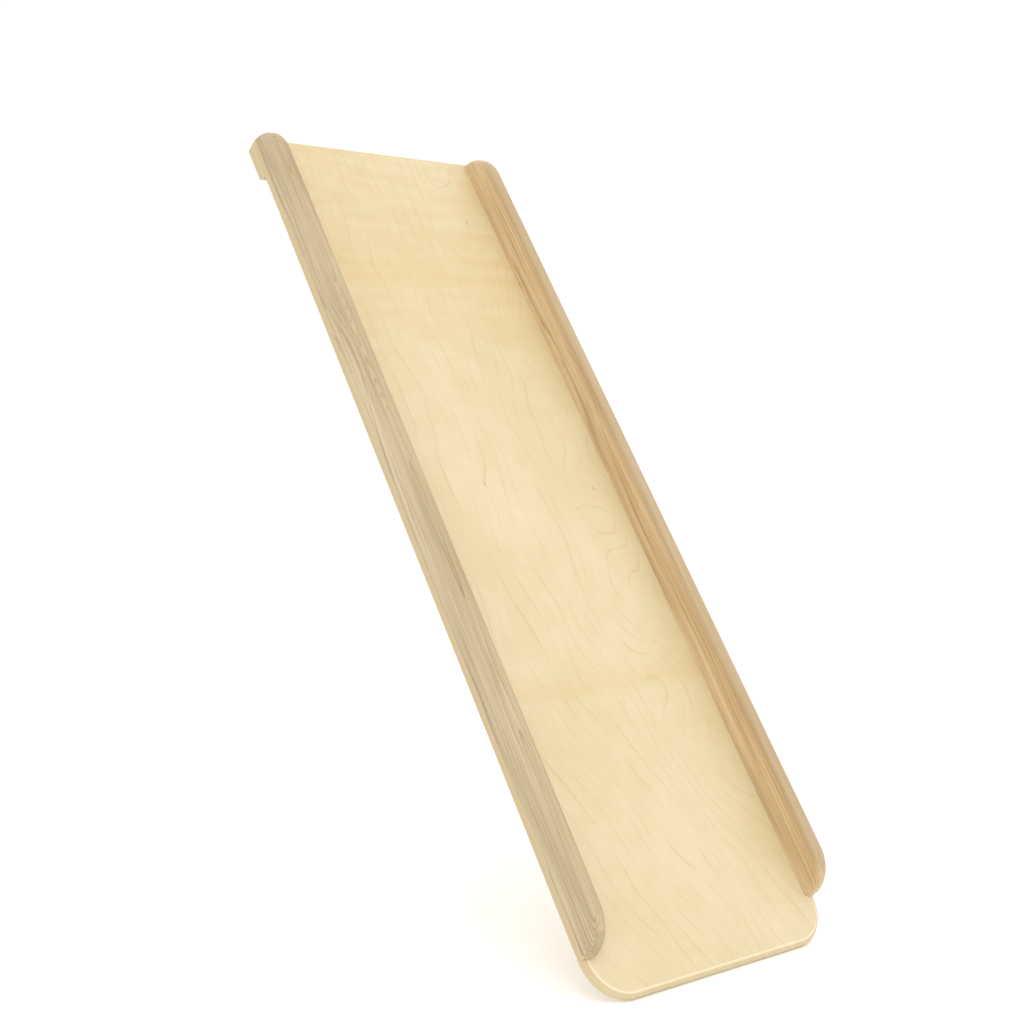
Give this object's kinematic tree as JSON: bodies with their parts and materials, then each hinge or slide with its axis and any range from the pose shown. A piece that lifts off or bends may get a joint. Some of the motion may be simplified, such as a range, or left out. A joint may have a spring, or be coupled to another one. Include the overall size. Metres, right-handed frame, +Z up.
{
  "type": "toddler slide board",
  "caption": "Hook-on toddler slide: plywood sliding board with rounded foot, solid wood side rails and a hook cleat under the top end, at its angle of use.",
  "frame": {"origin": "middle of the line where the rounded lower edge of the foot touches the floor", "axes": "+X across the slide, to the right of someone facing up the slope; +Y level and up the slope, towards the climbing frame; +Z up. The board slopes at 54.5 degrees."},
  "size_m": [0.4, 0.7735, 1.0764],
  "materials": {
    "birch_plywood": "clear satin lacquer on rotary-cut birch veneer",
    "ash_rail": "clear satin lacquer on solid ash",
    "plywood_cleat": "clear satin lacquer on birch plywood with its layers showing at the ends",
    "zinc_screw": "bright zinc plating"
  },
  "bodies": {
    "root": {"slide_board": "birch_plywood", "left_rail": "ash_rail", "right_rail": "ash_rail", "hook_cleat": "plywood_cleat", "left_rail_screws": "zinc_screw", "right_rail_screws": "zinc_screw", "cleat_screws": "zinc_screw", "cleat_end_screws": "zinc_screw"}
  },
  "joints": []
}
